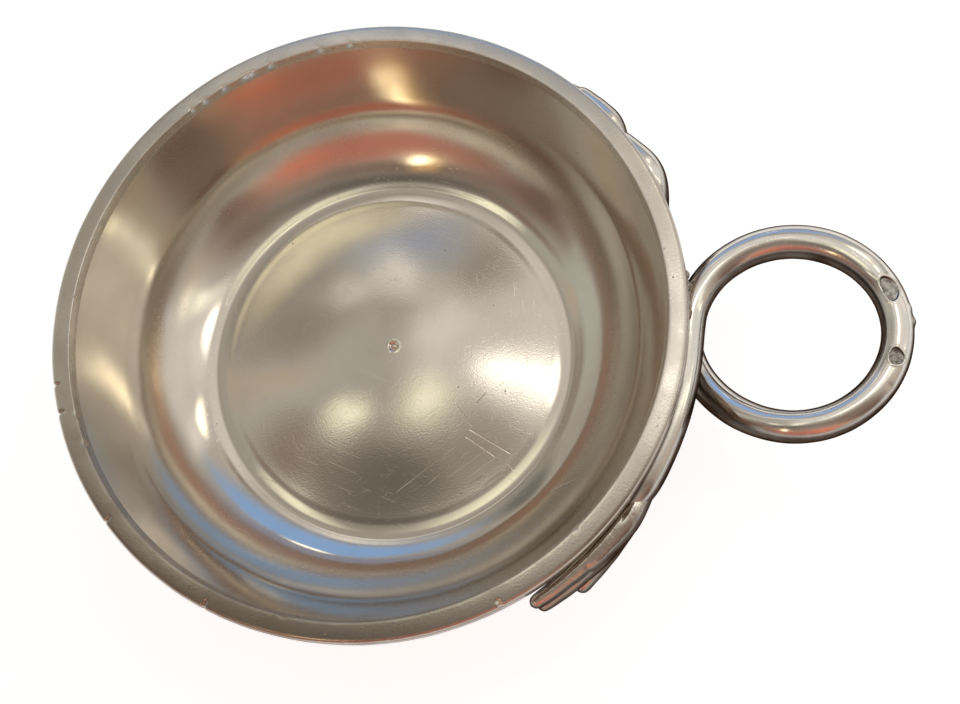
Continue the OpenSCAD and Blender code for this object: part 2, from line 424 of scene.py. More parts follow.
def make_rim():
    rim = turn_section("rim_edge_band", rim_section(), RIM_SIDES)
    nicks = LIP_NICKS + EDGE_NICKS
    pick_faces(rim, lambda place, normal: place.z > BAND_FOOT + NICK_FROM
               and any(abs(angle_off(place, a)) < NICK_SPAN for a, length in nicks))
    bpy.ops.mesh.subdivide(number_cuts=2)
    close_mesh()

    def nick(place, normal):
        r = math.hypot(place.x, place.y)
        outward = Vector((place.x / r, place.y / r, 0))
        shift = Vector()
        for a, length in LIP_NICKS:
            along = math.radians(angle_off(place, a)) * r
            near = hump(along, length * MM / 2) * hump(r - LIP_R, LIP_NICK_W)
            near *= hump(place.z - BOWL_H, LIP_NICK_H)
            shift += near * LIP_NICK_DEPTH * (outward * LIP_NICK_WAY[0] + Vector((0, 0, LIP_NICK_WAY[1])))
        for a, length in EDGE_NICKS:
            along = math.radians(angle_off(place, a)) * r
            near = hump(along, length * MM / 2) * ease((r - RIM_R + EDGE_NICK_W) / EDGE_NICK_SOFT)
            near *= ease((place.z - BOWL_H + EDGE_NICK_H) / EDGE_NICK_SOFT)
            shift += near * EDGE_NICK_DEPTH * (outward * EDGE_NICK_WAY[0] + Vector((0, 0, EDGE_NICK_WAY[1])))
        return shift

    press(rim, nick)
    make_uneven(rim, "filing", grain=5 * MM, height=0.05 * MM)
    smooth(rim, angle=35)
    return rim


# Rod, bent into the ring, with its two tails

ROD_SIDES = 32
TAIL_STEPS = 12
RING_STEPS = 44
NECK_STEPS = 2
LOWER_NECK = 0.65
UPPER_NECK = 0.75
# Degrees that the narrowed ends of the rod run on inside the leaves
RUN_ON = 2
# Where the bar is fuller or thinner than its plain size: angle around the ring, width in degrees, share
ROD_SWELLS = [(95, 40, 0.06), (180, 35, -0.06), (345, 30, -0.06)]
# Blank oval punch marks on the ring: angle around the ring, half length along the rod, half width
RING_STAMPS = [(155.6, 1.45 * MM, 1.1 * MM), (196.8, 1.15 * MM, 0.8 * MM)]
STAMP_DEPTH = 0.42 * MM
STAMP_WALL = 0.16
STAMP_LIP = 0.03 * MM
STAMP_LIP_AT = 1.12
STAMP_LIP_W = 0.12
# How uneven a stamp's edge is, and how much of that has three lobes
STAMP_WOBBLE = 0.13
STAMP_LOBES = 0.6
# Where the tarnish on a stamp's floor starts to fade, and over how much of its reach
STAMP_DARK = 0.8
STAMP_DARK_FADE = 0.25
# Faces near a stamp are made finer: distance from its middle, and least turn towards the rod's top
STAMP_ZONE = 3.2 * MM
STAMP_FACING = 0.2
# No blow reaches farther than this from its stamp
STAMP_FAR = 6 * MM
# Small flaws left by the blows: angle around the ring, side of the rod in degrees from its top, size, height
RING_FLAWS = [(174.5, 80, 0.55 * MM, 0.3 * MM), (213, 30, 0.35 * MM, -0.06 * MM),
              (168, 65, 0.5 * MM, 0.12 * MM), (146, -10, 0.8 * MM, 0.1 * MM)]


def hug_r(z):
    return wall_out(z) + (ROD_R + SOLDER_GAP) / math.sin(WALL_ANGLE)


def lower_tail(a):
    return around(a, TAIL_R, TAIL_Z)


def ring_at(a):
    sunk = ease((a - SINK_FROM) / (SINK_TO - SINK_FROM))
    c, s = math.cos(math.radians(a)), math.sin(math.radians(a))
    height = mix(TAIL_Z, CROSS_Z, sunk) + RING_RISE * (1 - c) / 2
    return Vector((RING_X - RING_A * c, RING_Y + RING_B * s, height)) + DRAW_IN * sunk


def upper_tail(a):
    up = ease((a - CLIMB_FROM) / (CLIMB_TO - CLIMB_FROM))
    tuck = ease((a - LEAVE_A) / TUCK_OVER)
    along = min(1, max(0, (a - ARCH_FROM) / (UPPER_FROM + ARCH_LAP - ARCH_FROM)))
    z = mix(CROSS_Z, TAIL_Z, up)
    r = mix(mix(TAIL_R, hug_r(CROSS_Z), tuck), TAIL_R, up) + ARCH_SWELL * math.sin(math.pi * along) ** 2
    return around(a, r, z)


def ring_size(a):
    """The bar is fullest on the first arm, and thinner at the ring's outer end and where it passes under."""
    return ROD_R * (1 + sum(share * hump(a - middle, width) for middle, width, share in ROD_SWELLS))


def tail_size(to_end, neck):
    """The bar narrows to a neck over the last steps before its leaf."""
    return ROD_R * mix(1, neck, ease(1 - to_end / NECK_STEPS))


def rod_line():
    lower_end = LOWER_FROM + RUN_ON
    upper_end = UPPER_FROM + RUN_ON
    lower_step = (lower_end - LEAVE_A) / TAIL_STEPS
    upper_step = (upper_end - LEAVE_A) / TAIL_STEPS
    steps = range(TAIL_STEPS + 1)
    lower = [(lower_tail(-lower_end + i * lower_step), tail_size(i, LOWER_NECK)) for i in steps]
    turns = [JOIN_A + i * (360 - 2 * JOIN_A) / RING_STEPS for i in range(RING_STEPS + 1)]
    ring = [(ring_at(a), ring_size(a)) for a in turns]
    upper = [(upper_tail(LEAVE_A + i * upper_step), tail_size(TAIL_STEPS - i, UPPER_NECK)) for i in steps]
    return lower + ring + upper


def ring_frame(a):
    """A place on the ring's line, the way along it, the side away from the ring's middle, and its top."""
    along = (ring_at(a + 1) - ring_at(a - 1)).normalized()
    side = along.cross(Vector((0, 0, 1))).normalized()
    if side.dot(ring_at(a) - Vector((RING_X, RING_Y, 0))) < 0:
        side = -side
    top = side.cross(along).normalized()
    return ring_at(a), along, side, top if top.z > 0 else -top


def make_rod():
    line = rod_line()
    rod = draw_rod("handle_rod", [p for p, size in line], [size for p, size in line], ROD_SIDES)
    finish_with(rod, "SUBSURF", levels=1, render_levels=1)
    make_uneven(rod, "forging", grain=6 * MM, height=0.11 * MM)
    marks = [ring_frame(a) for a, half_l, half_w in RING_STAMPS]
    pick_faces(rod, lambda place, normal: any(
        (place - centre).length < STAMP_ZONE and normal.dot(top) > STAMP_FACING
        for centre, along, side, top in marks))
    bpy.ops.mesh.subdivide(number_cuts=2)
    close_mesh()

    def reach_of(offset, stamp, mark):
        """How far out a place is in a stamp: 1 at its uneven edge."""
        u = offset.dot(mark[1]) / stamp[1]
        v = offset.dot(mark[2]) / stamp[2]
        turn = math.atan2(v, u)
        wobble = math.sin(2 * turn + stamp[0]) + STAMP_LOBES * math.sin(3 * turn)
        return math.hypot(u, v) * (1 + STAMP_WOBBLE * wobble)

    def blow(place, normal):
        shift = Vector()
        for stamp, mark in zip(RING_STAMPS, marks):
            offset = place - mark[0]
            top = mark[3]
            if offset.dot(top) < 0 or offset.length > STAMP_FAR:
                continue
            reach = reach_of(offset, stamp, mark)
            floor = 1 - ease((reach - 1 + STAMP_WALL) / STAMP_WALL)
            down = min(0, ring_size(stamp[0]) - STAMP_DEPTH - offset.dot(top))
            shift += top * (STAMP_LIP * hump(reach - STAMP_LIP_AT, STAMP_LIP_W) + down * floor)
        for a, turn, size, height in RING_FLAWS:
            centre, along, side, top = ring_frame(a)
            out = side * math.sin(math.radians(turn)) + top * math.cos(math.radians(turn))
            shift += out * height * hump((place - centre - out * ROD_R).length, size)
        return shift

    def stamp_floor(place, normal):
        depths = [0]
        for stamp, mark in zip(RING_STAMPS, marks):
            offset = place - mark[0]
            if offset.dot(mark[3]) > 0:
                depths.append(1 - ease((reach_of(offset, stamp, mark) - STAMP_DARK) / STAMP_DARK_FADE))
        return max(depths)

    press(rod, blow)
    mark_points(rod, "hollows", stamp_floor)
    smooth(rod, angle=60)
    return rod


# Leaves: strands that part from the rod's end, each with places beyond the rod's line, heights and radii

LEAF_VOXEL = 0.1 * MM
STRAND_SIDES = 16
STRAND_STEPS = 9
# Angle from which the strands run on, inside the rod's end, and the angle that the longest spans
LOWER_ROOT = -26
LOWER_SPAN = 30
UPPER_ROOT = 38
UPPER_SPAN = 21.5
# Each strand: reach as a share of the leaf's span, then millimetres (beyond the rod's line, above it, radius)
# at its start, its middle and its tip
LOWER_STRANDS = [
    (0.6, (0.0, -0.3, 1.5), (0.85, 0.0, 1.65), (0.9, 0.45, 1.2)),
    (0.955, (0.0, -0.2, 1.4), (0.45, 0.3, 1.5), (0.8, 0.5, 0.9)),
    (0.93, (0.0, -0.2, 1.4), (1.05, -0.3, 1.45), (1.5, -0.35, 0.85)),
    (0.7, (0.0, -0.1, 1.3), (1.0, -1.1, 1.4), (2.1, -2.2, 1.0)),
    (0.6, (0.0, -0.2, 1.2), (0.4, -1.6, 1.3), (0.9, -2.9, 0.8)),
]
UPPER_STRANDS = [
    (0.66, (0.0, -0.1, 0.9), (0.9, 0.0, 1.7), (1.0, -0.3, 1.45)),
    (0.95, (0.0, 0.0, 0.9), (0.45, 0.2, 1.3), (0.4, 0.5, 0.85)),
    (0.92, (0.0, 0.0, 0.9), (1.1, -0.5, 1.35), (1.0, -0.6, 0.85)),
    (0.7, (0.0, -0.1, 0.9), (1.2, -1.4, 1.35), (1.6, -2.3, 1.0)),
    (0.58, (0.0, -0.2, 0.8), (0.5, -1.8, 1.3), (0.5, -2.9, 0.8)),
]
# Angle from the root over which the strands are worked into one smooth body
BODY_FROM = 11
BODY_TO = 23
BODY_PASSES = 30
CASTING_PASSES = 4
# Places along a strand's round tip, as shares of its radius, and the least share of the radius left there
TIP_PLACES = (0.5, 0.85, 1)
TIP_LEAST = 0.002


def through(start, middle, tip, t):
    """A value that eases from its start to its middle and runs on to its tip, at shares 0, one half and 1."""
    return mix(start, middle, ease(2 * t)) if t < 0.5 else mix(middle, tip, 2 * t - 1)


def make_strand(name, root_a, span, strand):
    """One strand of a leaf, running on from the rod's end at an angle, with a round tip."""
    reach, start, middle, tip = strand
    points, sizes = [], []
    for i in range(STRAND_STEPS + 1):
        t = i / STRAND_STEPS
        beyond, above, radius = (through(*values, t) * MM for values in zip(start, middle, tip))
        points.append(around(root_a + span * reach * t, TAIL_R + beyond, TAIL_Z + above))
        sizes.append(radius)
    ahead = (points[-1] - points[-2]).normalized()
    for share in TIP_PLACES:
        points.append(points[STRAND_STEPS] + ahead * tip[2] * MM * share)
        sizes.append(tip[2] * MM * math.sqrt(max(TIP_LEAST, 1 - share ** 2)))
    return draw_rod(name, points, sizes, STRAND_SIDES)


def make_leaf(name, root_a, span, strands):
    """Joins the strands into one cast leaf and softens the grooves between them."""
    parts = [make_strand(f"{name}_strand", root_a, span, strand) for strand in strands]
    bpy.ops.object.select_all(action="DESELECT")
    for part in parts:
        part.select_set(True)
    bpy.context.view_layer.objects.active = parts[0]
    bpy.ops.object.join()
    leaf = bpy.context.object
    leaf.name = name
    finish_with(leaf, "REMESH", mode="VOXEL", voxel_size=LEAF_VOXEL)
    finish_with(leaf, "SMOOTH", factor=0.5, iterations=CASTING_PASSES)
    body = leaf.vertex_groups.new(name="body")
    for point in leaf.data.vertices:
        out = abs(angle_off(point.co, root_a))
        body.add([point.index], 1 - ease((out - BODY_FROM) / (BODY_TO - BODY_FROM)), "REPLACE")
    finish_with(leaf, "SMOOTH", factor=0.5, iterations=BODY_PASSES, vertex_group="body")
    leaf.vertex_groups.clear()
    make_uneven(leaf, f"{name}_casting", grain=2.2 * MM, height=0.12 * MM)
    take_up(leaf)
    bpy.ops.object.shade_smooth()
    mark_hollows(leaf, passes=30, depth=0.24 * MM)
    return leaf


# Solder: fillets under the band and at the crossing, and the rough run where the ring leaves the band

SEAM_LAP = 2
SEAM_DROP = 0.8 * MM
SEAM_TUCK = 0.4
SEAM_STEP = 0.7
HOLLOW_STEPS = 8
DROP_VOXEL = 0.1 * MM
# Half sizes of a drop, outward, along the rim and up, and its distance from the rod's line or the rim's edge
CROSSING_DROP = (0.62 * MM, 1.5 * MM, 0.95 * MM)
CROSSING_OFF = 1.15 * MM
CROSSING_Y = 1 * MM
RUN_DROP = (0.42 * MM, 0.75 * MM, 0.32 * MM)
RUN_OFF = 0.05 * MM
# Drops beside the ring: angle around the bowl, and millimetres above the band's foot
RUN_DROPS = [(3.0, -0.05), (4.6, 0.05), (6.2, 0.0), (8.3, -0.1), (10.0, 0.0)]


def seam_section():
    """The corner between the wall, the band and the rod, hollow where the rod lies."""
    foot_z = TAIL_Z - SEAM_DROP
    edge_r = TAIL_R - ROD_R * SEAM_TUCK
    round_r = ROD_R + SOLDER_GAP / 2
    top = math.acos((edge_r - TAIL_R) / round_r)
    low = math.pi + math.asin(SEAM_DROP / round_r)
    hollow = [(TAIL_R + round_r * math.cos(a), TAIL_Z + round_r * math.sin(a))
              for a in [mix(top, low, i / HOLLOW_STEPS) for i in range(HOLLOW_STEPS + 1)]]
    wall = [(wall_out(z), z) for z in (foot_z, mix(foot_z, BAND_FOOT, 0.5), BAND_FOOT)]
    return hollow + wall + [(edge_r, BAND_FOOT), hollow[0]]


def make_seam(name, start, end):
    seam = turn_section(name, seam_section(), round((end - start) / SEAM_STEP), start, end - start)
    open_mesh(seam)
    bpy.ops.mesh.select_all(action="SELECT")
    bpy.ops.mesh.fill_holes(sides=0)
    bpy.ops.mesh.normals_make_consistent(inside=False)
    close_mesh()
    finish_with(seam, "SUBSURF", levels=1, render_levels=1)
    make_uneven(seam, f"{name}_flow", grain=1.2 * MM, height=0.14 * MM)
    smooth(seam, angle=50)
    return seam


def make_drops(name, drops, lumps):
    """Drops of solder run together: each is a place and its half sizes, outward, along the rim and up."""
    parts = []
    for place, size in drops:
        bpy.ops.object.select_all(action="DESELECT")
        bpy.ops.mesh.primitive_ico_sphere_add(subdivisions=4, radius=1, location=place, scale=size)
        bpy.ops.object.transform_apply(location=True, rotation=True, scale=True)
        parts.append(bpy.context.object)
    for part in parts:
        part.select_set(True)
    if len(parts) > 1:
        bpy.ops.object.join()
    run = bpy.context.object
    run.name = name
    finish_with(run, "REMESH", mode="VOXEL", voxel_size=DROP_VOXEL)
    make_uneven(run, f"{name}_flow", grain=0.7 * MM, height=lumps)
    finish_with(run, "SMOOTH", factor=0.5, iterations=2)
    take_up(run)
    bpy.ops.object.shade_smooth()
    return run


def make_crossing_solder():
    middle = (TAIL_Z + CROSS_Z) / 2
    places = [(TAIL_R + way * CROSSING_OFF, CROSSING_Y, middle) for way in (-1, 1)]
    return make_drops("crossing_fillets", [(place, CROSSING_DROP) for place in places], lumps=0.15 * MM)


def make_ring_run():
    """Small drops in the groove between the band's edge and the ring, just past the crossing."""
    drops = [(around(a, RIM_R + RUN_OFF, BAND_FOOT + up * MM), RUN_DROP) for a, up in RUN_DROPS]
    return make_drops("ring_solder_run", drops, lumps=0.3 * MM)


# Finishes: nodes placed by name, with sockets or plain values as inputs

def place_node(tree, kind, inputs=None, **settings):
    node = tree.nodes.new(kind)
    for name, value in settings.items():
        setattr(node, name, value)
    for key, value in (inputs or {}).items():
        if isinstance(value, bpy.types.NodeSocket):
            tree.links.new(value, node.inputs[key])
        else:
            node.inputs[key].default_value = value
    return node


def work_out(tree, operation, a, b=0.0):
    """One sum on two values."""
    return place_node(tree, "ShaderNodeMath", {0: a, 1: b}, operation=operation).outputs[0]


def times(tree, a, b):
    return work_out(tree, "MULTIPLY", a, b)


def plus(tree, a, b):
    return work_out(tree, "ADD", a, b)


def most(tree, *values):
    """The greatest of several values."""
    top = values[0]
    for value in values[1:]:
        top = work_out(tree, "MAXIMUM", top, value)
    return top


def on_places(tree, operation, a, b=(0, 0, 0)):
    """One sum on two places; gives the outputs Vector and Value."""
    return place_node(tree, "ShaderNodeVectorMath", {0: a, 1: b}, operation=operation).outputs


def turned_place(tree, place, angle):
    """A place turned about the upright axis."""
    inputs = {"Vector": place, "Angle": angle}
    return place_node(tree, "ShaderNodeVectorRotate", inputs, rotation_type="Z_AXIS").outputs[0]


def noise(tree, place, scale, detail, roughness=0.5):
    inputs = {"Vector": place, "Scale": scale, "Detail": detail, "Roughness": roughness}
    return place_node(tree, "ShaderNodeTexNoise", inputs).outputs[0]


def fade(tree, value, low, high, start=0.0, end=1.0):
    """Runs smoothly from start to end while a value runs from low to high."""
    inputs = {"Value": value, "From Min": low, "From Max": high, "To Min": start, "To Max": end}
    return place_node(tree, "ShaderNodeMapRange", inputs, interpolation_type="SMOOTHSTEP").outputs["Result"]


def mix_values(tree, share, first, second):
    inputs = {0: share, 2: first, 3: second}
    return place_node(tree, "ShaderNodeMix", inputs, data_type="FLOAT").outputs[0]


def blend_colours(tree, share, first, second):
    inputs = {0: share, 6: first, 7: second}
    return place_node(tree, "ShaderNodeMix", inputs, data_type="RGBA").outputs[2]


def new_group(name, inputs, outputs):
    """A shader group with named sockets; gives the tree, its inputs and its output node."""
    tree = bpy.data.node_groups.new(name, "ShaderNodeTree")
    for label, kind in inputs:
        tree.interface.new_socket(label, in_out="INPUT", socket_type=kind)
    for label, kind in outputs:
        tree.interface.new_socket(label, in_out="OUTPUT", socket_type=kind)
    return tree, tree.nodes.new("NodeGroupInput").outputs, tree.nodes.new("NodeGroupOutput").inputs


def use_group(tree, group, inputs):
    return place_node(tree, "ShaderNodeGroup", inputs, node_tree=group).outputs


VALUE = "NodeSocketFloat"
PLACE = "NodeSocketVector"
# Hair scratches: directions in degrees, the level of noise that they stand out from, how far a full share
# lowers it, and the softness of their edges
SCRATCH_TURNS = (20, 82, 141)
SCRATCH_LEVEL = 0.78
SCRATCH_REACH = 0.2
SCRATCH_SOFT = 0.05
SMUDGE_FADE = (0.35, 0.68)
PIT_EDGE = (0.05, 0.12)
# Shares of a scratch over which it starts and ends
SCRATCH_START = (0.0, 0.25)
SCRATCH_END = (0.6, 1.0)


def scratches_group():
    """Fine straight scratches in three directions; Share is how much of the surface they take."""
    sockets = [("Place", PLACE), ("Along", VALUE), ("Across", VALUE), ("Share", VALUE)]
    tree, given, out = new_group("hair_scratches", sockets, [("Scratches", VALUE)])
    along, across = given["Along"], given["Across"]
    stretch = place_node(tree, "ShaderNodeCombineXYZ", {0: along, 1: across, 2: across}).outputs[0]
    edge = work_out(tree, "SUBTRACT", SCRATCH_LEVEL, times(tree, given["Share"], SCRATCH_REACH))
    lines = []
    for turn in SCRATCH_TURNS:
        turned = turned_place(tree, given["Place"], math.radians(turn))
        drawn = on_places(tree, "MULTIPLY", turned, stretch)["Vector"]
        streaks = noise(tree, drawn, scale=1.0, detail=1.0)
        lines.append(fade(tree, streaks, edge, plus(tree, edge, SCRATCH_SOFT)))
    tree.links.new(most(tree, *lines), out["Scratches"])
    return tree


def smudge_group():
    """Cloudy handling marks: soft patches broken up by finer ones."""
    sockets = [("Place", PLACE), ("Scale", VALUE)]
    tree, given, out = new_group("handling_smudges", sockets, [("Smudge", VALUE)])
    broad = noise(tree, given["Place"], given["Scale"], detail=4.0, roughness=0.6)
    tree.links.new(fade(tree, broad, *SMUDGE_FADE), out["Smudge"])
    return tree


def grain_group():
    """Satin grain: the small pits and swells left by cleaning and use."""
    tree, given, out = new_group("satin_grain", [("Place", PLACE), ("Scale", VALUE)], [("Grain", VALUE)])
    fine = noise(tree, given["Place"], given["Scale"], detail=2.5, roughness=0.65)
    tree.links.new(fine, out["Grain"])
    return tree


def pits_group():
    """Sparse small pits; Share is the part of the cells that has one."""
    sockets = [("Place", PLACE), ("Scale", VALUE), ("Share", VALUE)]
    tree, given, out = new_group("small_pits", sockets, [("Pits", VALUE)])
    cells = place_node(tree, "ShaderNodeTexVoronoi", {"Vector": given["Place"], "Scale": given["Scale"]})
    chosen = place_node(tree, "ShaderNodeSeparateColor", {0: cells.outputs["Color"]})
    kept = work_out(tree, "LESS_THAN", chosen.outputs[0], given["Share"])
    dot = fade(tree, cells.outputs["Distance"], *PIT_EDGE, start=1.0, end=0.0)
    tree.links.new(times(tree, dot, kept), out["Pits"])
    return tree


def one_scratch_group():
    """One straight scratch between two places, thin at both ends."""
    sockets = [("Place", PLACE), ("From", PLACE), ("To", PLACE), ("Width", VALUE)]
    tree, given, out = new_group("one_scratch", sockets, [("Scratch", VALUE)])
    run = on_places(tree, "SUBTRACT", given["To"], given["From"])["Vector"]
    off = on_places(tree, "SUBTRACT", given["Place"], given["From"])["Vector"]
    length = on_places(tree, "DOT_PRODUCT", run, run)["Value"]
    along = on_places(tree, "DOT_PRODUCT", off, run)["Value"]
    share = work_out(tree, "DIVIDE", along, length)
    foot = place_node(tree, "ShaderNodeVectorMath", {0: run, "Scale": share}, operation="SCALE").outputs[0]
    far = on_places(tree, "DISTANCE", off, foot)["Value"]
    ends = times(tree, fade(tree, share, *SCRATCH_START), fade(tree, share, *SCRATCH_END, start=1.0, end=0.0))
    line = fade(tree, far, 0.0, given["Width"], start=1.0, end=0.0)
    tree.links.new(times(tree, line, ends), out["Scratch"])
    return tree


SCRATCHES = scratches_group()
SMUDGES = smudge_group()
GRAIN = grain_group()
PITS = pits_group()
ONE_SCRATCH = one_scratch_group()
# Colours of tarnish: the first also serves as painted shade on the bowl's outside and the rim, the second as
# painted shade under the rod and the leaves and in the groove beside the band
TARNISH_AND_SHADE = (0.16, 0.11, 0.075, 1)
BLACKENED_AND_SHADE = (0.06, 0.044, 0.033, 1)
# Painted shade: how little the metal of rod and leaves mirrors where it is seen edge on, which darkens their
# edges as dark surroundings would
PAINTED_EDGE_SHADE = (0.22, 0.18, 0.15, 1)
BOWL_COLOUR = (0.76, 0.71, 0.63, 1)
RIM_COLOUR = (0.74, 0.7, 0.63, 1)
ROD_COLOUR = (0.82, 0.785, 0.73, 1)
LEAF_COLOUR = (0.8, 0.755, 0.685, 1)
SOLDER_COLOUR = (0.66, 0.615, 0.53, 1)
# Where the bowl's finish changes, by distance from the axis and by height, and how rough each part is
DISC_EDGE = (21.8 * MM, 23.6 * MM)
TROUGH_MIDDLE = 24.4 * MM
TROUGH_FADE = (0.3 * MM, 1.6 * MM)
TURN_HEIGHT = (2.4 * MM, 4.2 * MM)
WALL_HEIGHT = (6.5 * MM, 9.5 * MM)
DISC_ROUGH = 0.08
TROUGH_ROUGH = 0.05
TURN_ROUGH = 0.2
WALL_ROUGH = 0.11
WALL_GRAIN = 0.01
TROUGH_TARNISH = 0.16
# Painted shade on the bowl's outside where it looks down, least and most, set by the smudges
OUTSIDE_SHADE = (0.42, 0.62)
# How far up a surface looks, from where its painted shade starts to fade to where it is gone
OUTSIDE_FACING = (-0.1, 0.1)
RIM_FACING = (0.3, 0.75)
ROD_FACING = (0.5, 0.84)
LEAF_FACING = (0.58, 0.92)
# The side of the rim darkened with painted shade, and where that shade starts as a share of the rim's radius
SHADED_SIDE = (-0.42, -0.91, 0)
SHADED_FROM = 0.3
# File marks across the rim: how close they are around it and along each mark
FILED_ROUND = 260.0
FILED_ALONG = 500.0
# Painted shade by distance from the rim's edge: on its outer edge, under it, and in the groove beside the rod
OUTER_EDGE = 0.7 * MM
UNDER_EDGE = (1.2 * MM, 0.5 * MM)
GROOVE_W = 0.35 * MM
# Longer scratches on the disc: from and to in millimetres across the cup, and width
DISC_SCRATCHES = [
    ((11.4, -9.8), (18.2, -13.2), 0.1),
    ((11.0, -10.8), (16.0, -13.7), 0.09),
    ((9.6, -6.4), (12.4, -9.9), 0.06),
    ((10.2, -12.4), (2.0, -19.5), 0.05),
    ((12.0, -12.8), (6.4, -18.0), 0.045),
    ((17.0, -14.9), (13.2, -18.1), 0.05),
    ((17.2, -14.2), (18.2, -15.2), 0.1),
    ((14.6, -15.6), (11.6, -17.8), 0.04),
    ((23.0, -18.1), (27.4, -16.2), 0.09),
    ((12.4, -6.7), (13.9, -4.7), 0.07),
]


def new_finish(name):
    """A metal finish: gives the material, its tree, its shader and the place that patterns read."""
    finish = bpy.data.materials.new(name)
    finish.use_nodes = True
    tree = finish.node_tree
    shader = tree.nodes["Principled BSDF"]
    shader.inputs["Metallic"].default_value = 1
    place = place_node(tree, "ShaderNodeTexCoord").outputs["Object"]
    return finish, tree, shader, place


def flattened(tree, place):
    """A place as seen from above."""
    return on_places(tree, "MULTIPLY", place, (1, 1, 0))["Vector"]


def from_axis(tree, place):
    """Distance of a place from the bowl's axis."""
    return on_places(tree, "LENGTH", flattened(tree, place))["Value"]


def parts_of(tree, place):
    """The outputs X, Y and Z of a place or a direction."""
    return place_node(tree, "ShaderNodeSeparateXYZ", {0: place}).outputs


def smudges(tree, place, scale):
    return use_group(tree, SMUDGES, {"Place": place, "Scale": scale})["Smudge"]


def satin_grain(tree, place, scale):
    return use_group(tree, GRAIN, {"Place": place, "Scale": scale})["Grain"]


def small_pits(tree, place, scale, share):
    return use_group(tree, PITS, {"Place": place, "Scale": scale, "Share": share})["Pits"]


def hair_scratches(tree, place, along, across, share):
    inputs = {"Place": place, "Along": along, "Across": across, "Share": share}
    return use_group(tree, SCRATCHES, inputs)["Scratches"]


def add_relief(tree, shader, layers):
    """Chains bumps of (height, depth in metres) into the shader's normal."""
    normal = None
    for height, depth in layers:
        inputs = {"Height": height, "Distance": depth, "Strength": 1.0}
        if normal is not None:
            inputs["Normal"] = normal
        normal = place_node(tree, "ShaderNodeBump", inputs).outputs[0]
    tree.links.new(normal, shader.inputs["Normal"])


def underside(tree, low, high):
    """A mask that is full where a surface looks down and gone where it looks up."""
    facing = place_node(tree, "ShaderNodeNewGeometry").outputs["Normal"]
    return fade(tree, parts_of(tree, facing)["Z"], low, high, start=1.0, end=0.0)


def hollows(tree):
    """The mark kept at each point where a piece is sunk or grooved."""
    return place_node(tree, "ShaderNodeAttribute", attribute_name="hollows").outputs["Fac"]


def disc_scratches(tree, place):
    """The longer scratches on the disc, seen from above so that they follow the floor."""
    flat = flattened(tree, place)
    lines = []
    for (x0, y0), (x1, y1), width in DISC_SCRATCHES:
        start = (x0 * MM, y0 * MM, 0)
        end = (x1 * MM, y1 * MM, 0)
        inputs = {"Place": flat, "From": start, "To": end, "Width": width * MM}
        lines.append(use_group(tree, ONE_SCRATCH, inputs)["Scratch"])
    return most(tree, *lines)


def bowl_finish():
    """Worn satin silver: a scratched, grained disc on the floor, a smoother wall and a rougher outside,
    darkened with painted shade where it looks down.
    """
    finish, tree, shader, place = new_finish("worn_bowl_silver")
    far = from_axis(tree, place)
    height = parts_of(tree, place)["Z"]
    disc = fade(tree, far, *DISC_EDGE, start=1.0, end=0.0)
    smudge = smudges(tree, place, scale=90.0)
    grain = satin_grain(tree, place, scale=4200.0)
    hair = hair_scratches(tree, place, along=60.0, across=5200.0, share=0.4)
    pits = small_pits(tree, place, scale=800.0, share=0.05)
    cuts = disc_scratches(tree, place)
    off_trough = work_out(tree, "ABSOLUTE", work_out(tree, "SUBTRACT", far, TROUGH_MIDDLE))
    trough = fade(tree, off_trough, *TROUGH_FADE, start=TROUGH_TARNISH, end=0.0)
    outside = underside(tree, *OUTSIDE_FACING)
    # Painted shade on the outside where it looks down, stronger under smudges
    painted_outside_shade = times(tree, outside, mix_values(tree, smudge, *OUTSIDE_SHADE))
    darkening = most(tree, trough, painted_outside_shade, times(tree, pits, 0.6), times(tree, smudge, 0.1))
    tree.links.new(blend_colours(tree, darkening, BOWL_COLOUR, TARNISH_AND_SHADE), shader.inputs["Base Color"])
    turn = fade(tree, height, *TURN_HEIGHT, start=TROUGH_ROUGH, end=TURN_ROUGH)
    wall = fade(tree, height, *WALL_HEIGHT, start=TURN_ROUGH, end=WALL_ROUGH)
    rough = mix_values(tree, disc, work_out(tree, "MINIMUM", turn, wall), DISC_ROUGH)
    for mark, added in ((smudge, 0.04), (hair, 0.06), (cuts, 0.35), (outside, 0.12)):
        rough = plus(tree, rough, times(tree, mark, added))
    tree.links.new(rough, shader.inputs["Roughness"])
    grain = times(tree, grain, mix_values(tree, disc, WALL_GRAIN, 1.0))
    layers = [(grain, 0.009 * MM), (hair, -0.002 * MM), (cuts, -0.035 * MM), (pits, -0.02 * MM)]
    add_relief(tree, shader, layers)
    return finish


